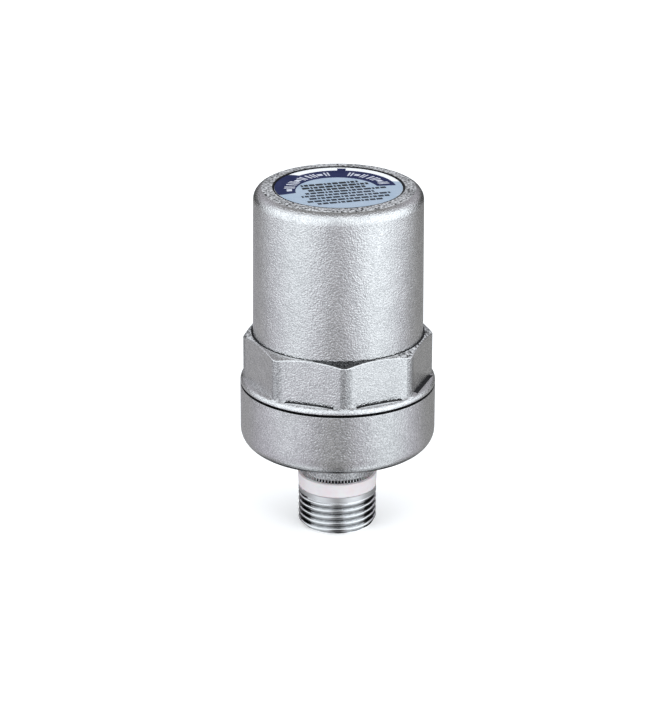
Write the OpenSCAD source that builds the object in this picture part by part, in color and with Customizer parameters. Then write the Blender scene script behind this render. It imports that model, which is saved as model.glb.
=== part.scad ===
// Water hammer arrestor. A chromed brass cup with a male inlet thread is closed by a bell with
// an octagonal wrench section. Inside, a sprung piston with two sealing rings keeps the water
// apart from the trapped air. Millimetres, +Z up, origin at the centre of the inlet's end face.

/* [Inlet thread] */
// Major diameter of the pipe thread
thread_d = 20.955; // [20.6:0.005:21.3]
// Axial distance from one thread crest to the next
thread_pitch = 1.814; // [1.6:0.001:2.1]
// Threaded length below the seal ring
thread_len = 10.8; // [9:0.1:14]
// Chamfer at the end of the thread
thread_chamfer = 1.15; // [0.8:0.05:1.3]
// Diameter of the water passage in the inlet
inlet_bore_d = 15; // [10:0.5:15.5]

/* [Seal ring] */
// Height of the seal ring between the thread and the collar
ring_h = 3.9; // [3:0.1:5]
// Outer diameter at the top of the seal ring
ring_top_d = 21.4; // [21:0.1:22.5]
// Outer diameter at the bottom of the seal ring
ring_bottom_d = 20.9; // [20.5:0.1:21.5]
// Diameter of the neck that the seal ring sits on
ring_neck_d = 18; // [17:0.1:18.2]

/* [Serrated collar] */
// Diameter over the serration tips
collar_d = 20; // [19.4:0.1:20.6]
// Height from the seal ring to the underside of the cup
collar_h = 8.3; // [6:0.1:12]
// Number of serrations around the collar
collar_teeth = 72; // [48:2:80]
// Depth of the serrations
collar_tooth_depth = 0.45; // [0.2:0.05:0.5]

/* [Cup] */
// Outer diameter of the cup and of the flange above it
cup_d = 52; // [51:0.5:56]
// Height of the cup from its underside to its rim
cup_h = 18.2; // [17:0.1:22]
// Radius around the lower outer edge of the cup
cup_edge_r = 5; // [3:0.5:6]
// Thickness of the cup's floor
cup_floor = 3.5; // [3:0.1:4]
// Small chamfer on the cup's rim at the joint line
rim_chamfer = 0.35; // [0.1:0.05:0.6]

/* [Cover] */
// Height of the round flange on the cup's rim
flange_h = 1.6; // [1.6:0.1:4]
// Radius on the upper edge of the flange
flange_edge_r = 1.5; // [0.2:0.1:1.5]
// Width across the flats of the octagon
flats_w = 47; // [46:0.1:49]
// Diameter that the corners of the octagon are turned to
flats_corner_d = 50.6; // [49.8:0.1:51]
// Height of the octagon
flats_h = 12; // [8:0.1:18]
// Height that the chamfer takes off the octagon's upper corners
flats_chamfer = 1.2; // [0.3:0.1:1.8]
// Slope of that chamfer
flats_chamfer_angle = 30; // [20:1:45]
// Turn of the octagon about the axis, from a corner at the front
flats_turn = 4; // [0:0.5:22]
// Outer diameter of the bell at its foot
bell_d = 45.2; // [44.6:0.1:45.8]
// Outer diameter of the bell below its top edge, smaller by the draft
bell_top_d = 44.7; // [44:0.1:44.8]
// Height of the bell above the octagon
bell_h = 40.2; // [34:0.1:60]
// Radius on the top edge of the bell
bell_edge_r = 3.3; // [1:0.1:4]
// Thickness of the bell's roof over the air chamber
roof_t = 4; // [3.5:0.1:6]

/* [Label] */
// Diameter of the recess for the label
recess_d = 34; // [32:0.1:36]
// Depth of the recess
recess_depth = 0.4; // [0.4:0.1:1.2]
// Gap between the edge of the label and the recess
label_gap = 0.2; // [0.1:0.1:1]
// Thickness of the label
label_t = 0.2; // [0.1:0.05:0.3]

/* [Cover joint] */
// Diameter of the screw joint between cover and cup
joint_d = 47; // [46.6:0.1:48]
// Length of the screw joint below the rim
joint_len = 7.2; // [5:0.1:9]
// Diameter of the smooth seat below the screw joint
seat_d = 45; // [44.6:0.1:45.6]
// Gap between the lower end of the cover and the cup's floor
skirt_gap = 1.5; // [1:0.1:3]
// Radial gap between the cover and the cup
joint_gap = 0.1; // [0.05:0.01:0.2]
// Section diameter of the cover's sealing ring
cover_ring_w = 2; // [1.6:0.1:2.1]

/* [Piston] */
// Diameter of the cylinder bore in the cover
bore_d = 38; // [37:0.1:38.6]
// Radial gap between the piston and the bore
piston_gap = 0.15; // [0.1:0.01:0.3]
// Height of the piston above its feet
piston_h = 16; // [15:0.5:22]
// Height of the piston's feet
foot_h = 1.5; // [1:0.1:3]
// Diameter of each foot
foot_d = 4; // [3:0.5:5]
// Diameter of the circle that the feet stand on
foot_circle_d = 24; // [22:0.5:26]
// Chamfer on the outer edges of the piston
piston_chamfer = 0.6; // [0.3:0.1:1]
// Thickness of the piston's crown
crown_t = 4; // [3:0.1:6]
// Inner diameter of the piston's skirt
piston_inner_d = 30; // [28:0.1:31]
// Section diameter of the two piston sealing rings
piston_ring_w = 2.4; // [1.8:0.1:2.6]
// Axial distance between the two piston sealing rings
piston_ring_pitch = 7; // [6:0.5:8]
// Gap around the sealing rings in their grooves and at the walls
seal_gap = 0.05; // [0.03:0.01:0.08]
// Free height above and below a sealing ring in its groove
groove_play = 0.2; // [0.1:0.05:0.4]

/* [Spring] */
// Wire diameter
wire_d = 3; // [2:0.1:3.4]
// Gap between the spring and the piston's skirt
spring_gap = 0.4; // [0.2:0.1:1]
// Coils, the two closed ends included
coils = 8; // [6:1:9]
// Gap between a closed end coil and the next one
coil_gap = 0.2; // [0.1:0.05:0.5]
// Diameter of the boss in the roof that centres the spring
boss_d = 20; // [14:0.5:20.5]
// Height of that boss
boss_h = 3; // [1:0.5:5]

/* [Hidden] */
eps = 0.01;
over = 1;

ring_z0 = thread_len;
ring_z1 = ring_z0 + ring_h;
cup_z0 = ring_z1 + collar_h;
rim_z = cup_z0 + cup_h;
floor_z = cup_z0 + cup_floor;
flats_z0 = rim_z + flange_h;
bell_z0 = flats_z0 + flats_h;
top_z = bell_z0 + bell_h;
roof_z = top_z - roof_t;
recess_z = top_z - recess_depth;
skirt_z0 = floor_z + skirt_gap;
joint_z0 = rim_z - joint_len;

thread_depth = 0.640327 * thread_pitch;
thread_crest = thread_pitch / 6;
groove_top_w = thread_pitch - thread_crest;
groove_n = floor((thread_len - thread_chamfer - 2 * thread_crest) / thread_pitch);

spigot_d = seat_d - 2 * joint_gap;
cover_ring_r = seat_d / 2 - seal_gap - cover_ring_w / 2;
cover_ring_z = (skirt_z0 + joint_z0) / 2;

piston_z0 = floor_z + foot_h;
piston_z1 = piston_z0 + piston_h;
piston_d = bore_d - 2 * piston_gap;
piston_ring_r = bore_d / 2 - seal_gap - piston_ring_w / 2;
ring_lower_z = piston_z0 + (piston_h - piston_ring_pitch) / 2;
ring_upper_z = ring_lower_z + piston_ring_pitch;

spring_z0 = piston_z0 + crown_t;
spring_len = roof_z - spring_z0;
wire_r = wire_d / 2;
coil_r = piston_inner_d / 2 - spring_gap - wire_r;
wire_sides = 8;
coil_steps = 20;

// Height of the wire's centre above the lower seat after t turns, with a closed end of one turn
function end_rise(t) =
    t < 0.75 ? wire_r * t / 0.75 : wire_r + (wire_r + coil_gap) * (t - 0.75) / 0.25;
function wire_z(t) =
    t <= 1 ? end_rise(t)
    : t >= coils - 1 ? spring_len - end_rise(coils - t)
    : end_rise(1) + (spring_len - 2 * end_rise(1)) * (t - 1) / (coils - 2);

// One point on the wire's skin, ground flat at both seats
function wire_point(t, b) =
    let (r = coil_r + wire_r * cos(b), z = wire_z(t) + wire_r * sin(b))
    [r * cos(360 * t), r * sin(360 * t), min(max(z, 0), spring_len)];

// A rectangle in the half plane of a turned profile
module span(r0, r1, z0, z1) {
    translate([r0, z0])
        square([r1 - r0, z1 - z0]);
}

// The piece that a radius takes off an outer corner at [r, z]; up is 1 at a top edge, -1 below
module corner_cut(r, z, radius, up) {
    difference() {
        translate([r - radius, up > 0 ? z - radius : z - over])
            square([radius + over, radius + over]);
        translate([r - radius, z - up * radius])
            circle(r = radius, $fn = 96);
    }
}

// The piece that a chamfer takes off an outer corner at [r, z]
module chamfer_cut(r, z, size, up) {
    polygon([
        [r - size, z],
        [r, z - up * size],
        [r + over, z - up * size],
        [r + over, z + up * over],
        [r - size, z + up * over]
    ]);
}

// A round sealing ring
module o_ring(r, z, w) {
    rotate_extrude($fn = 128)
        translate([r, z])
            circle(d = w, $fn = 32);
}

// One thread groove at height z
module thread_groove(z) {
    polygon([
        [thread_d / 2 - thread_depth, z - thread_crest / 2],
        [thread_d / 2 - thread_depth, z + thread_crest / 2],
        [thread_d / 2, z + groove_top_w / 2],
        [thread_d / 2 + over, z + groove_top_w / 2],
        [thread_d / 2 + over, z - groove_top_w / 2],
        [thread_d / 2, z - groove_top_w / 2]
    ]);
}

module inlet_profile() {
    difference() {
        union() {
            span(inlet_bore_d / 2, thread_d / 2, 0, ring_z0);
            span(inlet_bore_d / 2, ring_neck_d / 2, ring_z0 - over, ring_z1 + over);
        }
        chamfer_cut(thread_d / 2, 0, thread_chamfer, -1);
        for (i = [0 : groove_n - 1])
            thread_groove(thread_chamfer + thread_crest + groove_top_w / 2 + i * thread_pitch);
    }
}

module cup_profile() {
    difference() {
        span(inlet_bore_d / 2, cup_d / 2, cup_z0, rim_z);
        corner_cut(cup_d / 2, cup_z0, cup_edge_r, -1);
        chamfer_cut(cup_d / 2, rim_z, rim_chamfer, 1);
        span(0, seat_d / 2, floor_z, rim_z + over);
        span(0, joint_d / 2, joint_z0, rim_z + over);
    }
}

module collar() {
    difference() {
        linear_extrude(height = collar_h + over)
            polygon([
                for (i = [0 : 2 * collar_teeth - 1])
                    let (r = collar_d / 2 - (i % 2) * collar_tooth_depth, a = 180 * i / collar_teeth)
                    [r * cos(a), r * sin(a)]
            ]);
        translate([0, 0, -over])
            cylinder(d = inlet_bore_d, h = collar_h + 3 * over, $fn = 96);
    }
}

module lower_body() {
    color([0.76, 0.77, 0.78]) {
        rotate_extrude($fn = 128)
            inlet_profile();
        rotate_extrude($fn = 128)
            cup_profile();
        translate([0, 0, ring_z1])
            collar();
    }
}

// The bell's outline, narrowing with its draft up to the rounded top edge
module bell_outline() {
    polygon([
        [0, rim_z + over],
        [bell_d / 2, rim_z + over],
        [bell_d / 2, bell_z0],
        [bell_top_d / 2, top_z - bell_edge_r],
        [bell_top_d / 2, top_z],
        [0, top_z]
    ]);
}

module cover_profile() {
    difference() {
        union() {
            span(0, spigot_d / 2, skirt_z0, joint_z0 + over);
            span(0, joint_d / 2 - joint_gap, joint_z0 + joint_gap, rim_z + over);
            difference() {
                span(0, cup_d / 2, rim_z, flats_z0);
                corner_cut(cup_d / 2, flats_z0, flange_edge_r, 1);
            }
            difference() {
                bell_outline();
                corner_cut(bell_top_d / 2, top_z, bell_edge_r, 1);
            }
        }
        difference() {
            span(0, bore_d / 2, skirt_z0 - over, roof_z);
            span(0, boss_d / 2, roof_z - boss_h, roof_z + over);
        }
        span(0, recess_d / 2, recess_z, top_z + over);
        span(
            cover_ring_r - cover_ring_w / 2 - seal_gap, spigot_d / 2 + over,
            cover_ring_z - cover_ring_w / 2 - groove_play, cover_ring_z + cover_ring_w / 2 + groove_play
        );
    }
}

// The turned blank of the octagon, chamfered at its top
module flats_blank() {
    r = flats_corner_d / 2;
    rotate_extrude($fn = 128)
        polygon([
            [0, flats_z0 - flange_h - over],
            [r, flats_z0 - flange_h - over],
            [r, bell_z0 - flats_chamfer],
            [r - (flats_chamfer + over) / tan(flats_chamfer_angle), bell_z0 + over],
            [0, bell_z0 + over]
        ]);
}

module wrench_flats() {
    rotate([0, 0, flats_turn - 90])
        difference() {
            intersection() {
                translate([0, 0, flats_z0 - flange_h / 2])
                    cylinder(d = flats_w / cos(22.5), h = flats_h + flange_h / 2, $fn = 8);
                flats_blank();
            }
            translate([0, 0, rim_z - over])
                cylinder(d = bell_d - 2 * over, h = flange_h + flats_h + 2 * over, $fn = 128);
        }
}

module upper_cover() {
    color([0.78, 0.79, 0.8]) {
        rotate_extrude($fn = 128)
            cover_profile();
        wrench_flats();
    }
}

module top_label() {
    color([0.7, 0.76, 0.85])
        translate([0, 0, recess_z])
            cylinder(d = recess_d - 2 * label_gap, h = label_t, $fn = 96);
}

module thread_seal_ring() {
    color([0.9, 0.87, 0.88])
        rotate_extrude($fn = 128)
            polygon([
                [ring_neck_d / 2 + seal_gap, ring_z0],
                [ring_bottom_d / 2, ring_z0],
                [ring_top_d / 2, ring_z1],
                [ring_neck_d / 2 + seal_gap, ring_z1]
            ]);
}

module cover_o_ring() {
    color([0.07, 0.07, 0.08])
        o_ring(cover_ring_r, cover_ring_z, cover_ring_w);
}

module piston_profile() {
    difference() {
        span(0, piston_d / 2, piston_z0, piston_z1);
        chamfer_cut(piston_d / 2, piston_z0, piston_chamfer, -1);
        chamfer_cut(piston_d / 2, piston_z1, piston_chamfer, 1);
        span(0, piston_inner_d / 2, piston_z0 + crown_t, piston_z1 + over);
        for (z = [ring_lower_z, ring_upper_z])
            span(
                piston_ring_r - piston_ring_w / 2 - seal_gap, piston_d / 2 + over,
                z - piston_ring_w / 2 - groove_play, z + piston_ring_w / 2 + groove_play
            );
    }
}

module piston() {
    color([0.16, 0.17, 0.18]) {
        rotate_extrude($fn = 128)
            piston_profile();
        for (a = [45 : 90 : 315])
            rotate([0, 0, a])
                translate([foot_circle_d / 2, 0, floor_z])
                    cylinder(d = foot_d, h = foot_h + over, $fn = 32);
    }
}

module piston_o_ring_lower() {
    color([0.07, 0.07, 0.08])
        o_ring(piston_ring_r, ring_lower_z, piston_ring_w);
}

module piston_o_ring_upper() {
    color([0.07, 0.07, 0.08])
        o_ring(piston_ring_r, ring_upper_z, piston_ring_w);
}

module main_spring() {
    last = coils * coil_steps;
    points = [
        for (i = [0 : last], k = [0 : wire_sides - 1])
            wire_point(i / coil_steps, 360 * (k + 0.5) / wire_sides)
    ];
    faces = concat(
        [[for (k = [0 : wire_sides - 1]) k]],
        [
            for (i = [0 : last - 1], k = [0 : wire_sides - 1])
                let (
                    a = i * wire_sides + k,
                    b = i * wire_sides + (k + 1) % wire_sides,
                    c = b + wire_sides,
                    d = a + wire_sides
                )
                each [[a, c, b], [a, d, c]]
        ],
        [[for (k = [wire_sides - 1 : -1 : 0]) last * wire_sides + k]]
    );
    color([0.66, 0.67, 0.69])
        translate([0, 0, spring_z0])
            polyhedron(points, faces, convexity = 10);
}

lower_body();
upper_cover();
top_label();
thread_seal_ring();
cover_o_ring();
piston();
piston_o_ring_lower();
piston_o_ring_upper();
main_spring();
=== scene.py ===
"""Looks for a water hammer arrestor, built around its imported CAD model.

The cup, the bell, the seal ring, the label and the spring are rebuilt here as fine meshes with
rounded edges, a true helical thread and serrations. The piston and the rubber rings keep their
CAD solids and get finishes. Sizes are in millimetres until a mesh is made, which is in metres.
"""

import logging
import math
from abc import ABC, abstractmethod
from collections.abc import Sequence
from dataclasses import dataclass
from enum import Enum, IntEnum
from typing import Any

import bpy
import numpy as np
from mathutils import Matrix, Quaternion, Vector

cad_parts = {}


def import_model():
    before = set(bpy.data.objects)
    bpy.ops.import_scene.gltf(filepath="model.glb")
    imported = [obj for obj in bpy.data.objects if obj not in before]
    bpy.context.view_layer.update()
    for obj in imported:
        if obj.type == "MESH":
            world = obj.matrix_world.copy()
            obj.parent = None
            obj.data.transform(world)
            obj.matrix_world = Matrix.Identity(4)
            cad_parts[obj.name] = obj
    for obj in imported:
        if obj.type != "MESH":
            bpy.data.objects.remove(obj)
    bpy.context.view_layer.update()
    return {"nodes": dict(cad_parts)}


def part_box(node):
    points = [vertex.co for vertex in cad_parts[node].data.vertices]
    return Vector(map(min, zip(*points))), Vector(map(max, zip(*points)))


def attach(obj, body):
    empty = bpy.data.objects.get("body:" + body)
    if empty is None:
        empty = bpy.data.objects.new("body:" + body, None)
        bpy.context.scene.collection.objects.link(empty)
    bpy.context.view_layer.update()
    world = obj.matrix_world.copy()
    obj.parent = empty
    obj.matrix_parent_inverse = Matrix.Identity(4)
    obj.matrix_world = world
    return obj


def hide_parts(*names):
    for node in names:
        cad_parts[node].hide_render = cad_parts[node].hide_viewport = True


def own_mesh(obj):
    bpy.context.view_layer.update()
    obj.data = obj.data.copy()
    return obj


MM = 0.001
SHARP_ANGLE = math.radians(32)
# Radii of cut edges in millimetres: left sharp, as the tool leaves them, and broken by hand.
SHARP_R = 0.05
TOOL_R = 0.1
SOFT_R = 0.2
SLACK = 0.01
POINTS_PER_TOOTH = 4
LOG = logging.getLogger("arrestor")

Color = tuple[float, float, float, float]
Span = tuple[float, float]
Cell = tuple[np.ndarray, list[tuple[int, ...]], list[tuple[int, int]]]

WHITE: Color = (1.0, 1.0, 1.0, 1.0)


class Body(str, Enum):
    """The CAD bodies that pieces ride on."""

    HOUSING = "housing"
    PISTON = "piston"


class Part(str, Enum):
    """The CAD nodes of the arrestor."""

    CUP = "lower_body"
    BELL = "upper_cover"
    LABEL = "top_label"
    THREAD_SEAL = "thread_seal_ring"
    COVER_RING = "cover_o_ring"
    PISTON = "piston"
    LOWER_RING = "piston_o_ring_lower"
    UPPER_RING = "piston_o_ring_upper"
    SPRING = "main_spring"


class Slot(str, Enum):
    """The record's material slots."""

    CUP = "cup_chrome"
    BELL = "bell_chrome"
    LABEL = "label_film"
    SEAL = "seal_white"
    RUBBER = "seal_rubber"
    PISTON = "piston_polymer"
    SPRING = "spring_steel"


@dataclass(frozen=True)
class Extent:
    """Where a CAD node lies, in millimetres."""

    radius: float
    bottom: float
    top: float

    @classmethod
    def of(cls, part: Part) -> "Extent":
        """Reads a node's extent from the frame.

        Args:
            part: The CAD node to measure.

        Returns:
            Its outer radius about the axis, and its lowest and highest point.
        """
        low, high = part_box(part.value)
        return cls((high.x - low.x) / 2 / MM, low.z / MM, high.z / MM)


def rgb(red: float, green: float, blue: float) -> Color:
    """Gives an opaque linear colour."""
    return (red, green, blue, 1.0)


class Graph:
    """A node tree that is built by adding nodes and wiring them."""

    def __init__(self, tree: bpy.types.NodeTree) -> None:
        """Starts from an empty tree.

        Args:
            tree: The tree to fill; its nodes are removed.
        """
        self.tree = tree
        tree.nodes.clear()

    def add(self, kind: str, inputs: dict[str | int, Any] | None = None, **settings: Any) -> bpy.types.Node:
        """Adds a node, sets its properties and fills its inputs.

        Args:
            kind: The node's type name without its ShaderNode prefix.
            inputs: Values or output sockets by input name or number.
            **settings: Properties of the node.

        Returns:
            The new node.
        """
        prefix = "" if kind.startswith("NodeGroup") else "ShaderNode"
        node = self.tree.nodes.new(prefix + kind)
        for key, value in settings.items():
            setattr(node, key, value)
        for key, value in (inputs or {}).items():
            self.feed(node.inputs[key], value)
        return node

    def feed(self, socket: bpy.types.NodeSocket, value: Any) -> None:
        """Fills an input.

        Args:
            socket: The input.
            value: An output socket to link to it, or a plain value to set on it.
        """
        if isinstance(value, bpy.types.NodeSocket):
            self.tree.links.new(value, socket)
        else:
            socket.default_value = value

    def math(self, operation: str, *values: Any) -> bpy.types.NodeSocket:
        """Adds a Math node.

        Args:
            operation: The node's operation.
            *values: Its inputs, as numbers or sockets.

        Returns:
            The node's value.
        """
        return self.add("Math", dict(enumerate(values)), operation=operation).outputs[0]

    def group(self, group: bpy.types.NodeTree, **inputs: Any) -> bpy.types.Node:
        """Places a node group and fills its inputs by name, with spaces as underscores."""
        named = {key.replace("_", " "): value for key, value in inputs.items()}
        return self.add("Group", named, node_tree=group)

    def blend(self, amount: Any, first: Any, second: Any) -> bpy.types.NodeSocket:
        """Mixes two colours.

        Args:
            amount: The share of the second colour.
            first: The colour at 0.
            second: The colour at 1.

        Returns:
            The mixed colour.
        """
        return self.add("Mix", {"Factor": amount, 6: first, 7: second}, data_type="RGBA").outputs[2]

    def remap(self, value: Any, span: Span, to_low: Any, to_high: Any) -> bpy.types.NodeSocket:
        """Maps a range of values to another one, clamped at its ends.

        Args:
            value: The value to map.
            span: The lowest and highest value of its range.
            to_low: What the lowest value becomes.
            to_high: What the highest value becomes.

        Returns:
            The mapped value.
        """
        names = ("Value", "From Min", "From Max", "To Min", "To Max")
        values = (value, *span, to_low, to_high)
        return self.add("MapRange", dict(zip(names, values))).outputs["Result"]


class SurfaceEffects:
    """The shader node groups that several finishes share, each made once."""

    GRAIN_ROUGHNESS = 0.55
    GRAIN_SPAN: Span = (0.39, 0.61)
    PEBBLE_SCALE = 0.8
    PEBBLE_SMOOTHNESS = 0.6
    PATCH_SCALE = 0.09
    PATCH_SHARE = 0.2
    MARKS_SPAN: Span = (0.35, 0.65)
    MOTTLE_SPAN: Span = (0.3, 0.7)

    def __init__(self) -> None:
        """Builds all the groups."""
        self.forge_grain = self._forge_grain()
        self.turning_marks = self._turning_marks()
        self.mottle = self._mottle()

    @staticmethod
    def _open(
        name: str, inputs: Sequence[tuple[str, float]], outputs: Sequence[str]
    ) -> tuple[Graph, Any, Any]:
        """Makes an empty group with float sockets.

        Args:
            name: The group's name.
            inputs: Each input's name and default.
            outputs: Each output's name.

        Returns:
            The graph, its input sockets and its output sockets.
        """
        tree = bpy.data.node_groups.new(name, "ShaderNodeTree")
        for label, default in inputs:
            socket = tree.interface.new_socket(name=label, in_out="INPUT", socket_type="NodeSocketFloat")
            socket.default_value = default
        for label in outputs:
            tree.interface.new_socket(name=label, in_out="OUTPUT", socket_type="NodeSocketFloat")
        graph = Graph(tree)
        return graph, graph.add("NodeGroupInput").outputs, graph.add("NodeGroupOutput").inputs

    @staticmethod
    def _millimetres(graph: Graph) -> bpy.types.NodeSocket:
        """Gives the surface point in millimetres in the object's own frame."""
        place = graph.add("TexCoord").outputs["Object"]
        return graph.add("VectorMath", {0: place, "Scale": 1 / MM}, operation="SCALE").outputs["Vector"]

    @staticmethod
    def _noise(graph: Graph, place: Any, scale: Any, detail: float, roughness: float = 0.5) -> Any:
        """Adds a noise texture.

        Args:
            graph: The group's graph.
            place: The point at which it is read.
            scale: Its features per unit of length.
            detail: The number of finer layers.
            roughness: The strength of the finer layers.

        Returns:
            The noise's value.
        """
        inputs = {"Vector": place, "Scale": scale, "Detail": detail, "Roughness": roughness}
        return graph.add("TexNoise", inputs).outputs["Fac"]

    def _forge_grain(self) -> bpy.types.NodeTree:
        """Builds the pebbled skin of a blasted forging under chrome.

        Returns:
            A group that puts out a height for bump and a tone for colour and roughness.
        """
        graph, given, out = self._open("forge_grain", [("Per mm", 1.3), ("Pebbles", 0.4)], ["Height", "Tone"])
        place = self._millimetres(graph)
        fine = self._noise(graph, place, given["Per mm"], 2.0, self.GRAIN_ROUGHNESS)
        pebble_scale = graph.math("MULTIPLY", given["Per mm"], self.PEBBLE_SCALE)
        cells = {"Vector": place, "Scale": pebble_scale, "Smoothness": self.PEBBLE_SMOOTHNESS}
        pebble = graph.add("TexVoronoi", cells, feature="SMOOTH_F1").outputs["Distance"]
        share = graph.math("MULTIPLY", graph.math("SUBTRACT", 1.0, pebble), given["Pebbles"])
        graph.feed(out["Height"], graph.math("ADD", fine, share))
        patch = self._noise(graph, place, graph.math("MULTIPLY", given["Per mm"], self.PATCH_SCALE), 3.0)
        fine_part = graph.math("MULTIPLY", fine, 1 - self.PATCH_SHARE)
        both = graph.math("ADD", fine_part, graph.math("MULTIPLY", patch, self.PATCH_SHARE))
        graph.feed(out["Tone"], graph.remap(both, self.GRAIN_SPAN, 0.0, 1.0))
        return graph.tree

    def _turning_marks(self) -> bpy.types.NodeTree:
        """Builds the fine rings that a lathe tool leaves around the axis.

        Returns:
            A group that puts out a height for bump and a tone.
        """
        graph, given, out = self._open("turning_marks", [("Per mm", 6.0)], ["Height", "Tone"])
        parts = graph.add("SeparateXYZ", {"Vector": self._millimetres(graph)}).outputs
        along = graph.math("MULTIPLY", parts["Z"], given["Per mm"])
        squares = [graph.math("POWER", parts[axis], 2.0) for axis in ("X", "Y")]
        across = graph.math("MULTIPLY", graph.math("SQRT", graph.math("ADD", *squares)), given["Per mm"])
        lines = graph.add("CombineXYZ", {"X": along, "Y": across}).outputs["Vector"]
        noise = self._noise(graph, lines, 1.0, 2.0)
        graph.feed(out["Height"], noise)
        graph.feed(out["Tone"], graph.remap(noise, self.MARKS_SPAN, 0.0, 1.0))
        return graph.tree

    def _mottle(self) -> bpy.types.NodeTree:
        """Builds the soft unevenness of handled and moulded surfaces.

        Returns:
            A group that puts out a broad tone and a fine height.
        """
        graph, given, out = self._open("mottle", [("Per mm", 0.25), ("Fine per mm", 5.0)], ["Tone", "Height"])
        place = self._millimetres(graph)
        broad = self._noise(graph, place, given["Per mm"], 3.0)
        fine = self._noise(graph, place, given["Fine per mm"], 2.0)
        graph.feed(out["Tone"], graph.remap(broad, self.MOTTLE_SPAN, 0.0, 1.0))
        graph.feed(out["Height"], fine)
        return graph.tree


@dataclass(frozen=True)
class Finish(ABC):
    """What every finish has: a name, two tones of its colour and a range of roughness."""

    name: str
    deep: Color
    light: Color
    smooth: float
    rough: float
    bump_mm: float

    def material(self, effects: SurfaceEffects) -> bpy.types.Material:
        """Makes the Blender material.

        Args:
            effects: The shared node groups.

        Returns:
            A material with a Principled shader driven by the finish's own effect.
        """
        made = bpy.data.materials.new(self.name)
        made.use_nodes = True
        graph = Graph(made.node_tree)
        shader = graph.add("BsdfPrincipled")
        graph.add("OutputMaterial", {"Surface": shader.outputs["BSDF"]})
        effect = self.effect(graph, effects).outputs
        tone = effect["Tone"]
        graph.feed(shader.inputs["Base Color"], graph.blend(tone, self.deep, self.light))
        graph.feed(shader.inputs["Roughness"], graph.remap(tone, (0.0, 1.0), self.rough, self.smooth))
        bump = graph.add("Bump", {"Strength": 1.0, "Distance": self.bump_mm * MM, "Height": effect["Height"]})
        graph.feed(shader.inputs["Normal"], bump.outputs["Normal"])
        self.settle(shader)
        return made

    @abstractmethod
    def effect(self, graph: Graph, effects: SurfaceEffects) -> bpy.types.Node:
        """Places the finish's effect, which puts out a tone and a height."""

    @abstractmethod
    def settle(self, shader: bpy.types.Node) -> None:
        """Sets the shader's constant inputs."""


@dataclass(frozen=True)
class ForgedChrome(Finish):
    """Satin chrome over a blasted forging."""

    per_mm: float = 2.6
    pebbles: float = 0.4
    metallic: float = 1.0

    def effect(self, graph: Graph, effects: SurfaceEffects) -> bpy.types.Node:
        """Places the forge grain."""
        return graph.group(effects.forge_grain, Per_mm=self.per_mm, Pebbles=self.pebbles)

    def settle(self, shader: bpy.types.Node) -> None:
        """Sets how much of the surface is bare metal."""
        shader.inputs["Metallic"].default_value = self.metallic


@dataclass(frozen=True)
class TurnedMetal(Finish):
    """Bright metal straight from the lathe."""

    per_mm: float = 6.0

    def effect(self, graph: Graph, effects: SurfaceEffects) -> bpy.types.Node:
        """Places the turning marks."""
        return graph.group(effects.turning_marks, Per_mm=self.per_mm)

    def settle(self, shader: bpy.types.Node) -> None:
        """Makes the shader a metal."""
        shader.inputs["Metallic"].default_value = 1.0


@dataclass(frozen=True)
class Polymer(Finish):
    """A moulded or cut plastic, a printed film or rubber."""

    per_mm: float = 0.25
    fine_per_mm: float = 5.0
    translucency: float = 0.0
    coat: float = 0.0
    specular: float = 0.5

    def effect(self, graph: Graph, effects: SurfaceEffects) -> bpy.types.Node:
        """Places the mottle."""
        return graph.group(effects.mottle, Per_mm=self.per_mm, Fine_per_mm=self.fine_per_mm)

    def settle(self, shader: bpy.types.Node) -> None:
        """Sets the gloss, the coat and the light that enters the surface.

        Args:
            shader: The material's Principled shader.
        """
        shader.inputs["Specular IOR Level"].default_value = self.specular
        shader.inputs["Coat Weight"].default_value = self.coat
        shader.inputs["Subsurface Weight"].default_value = self.translucency
        shader.inputs["Subsurface Scale"].default_value = MM


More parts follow.
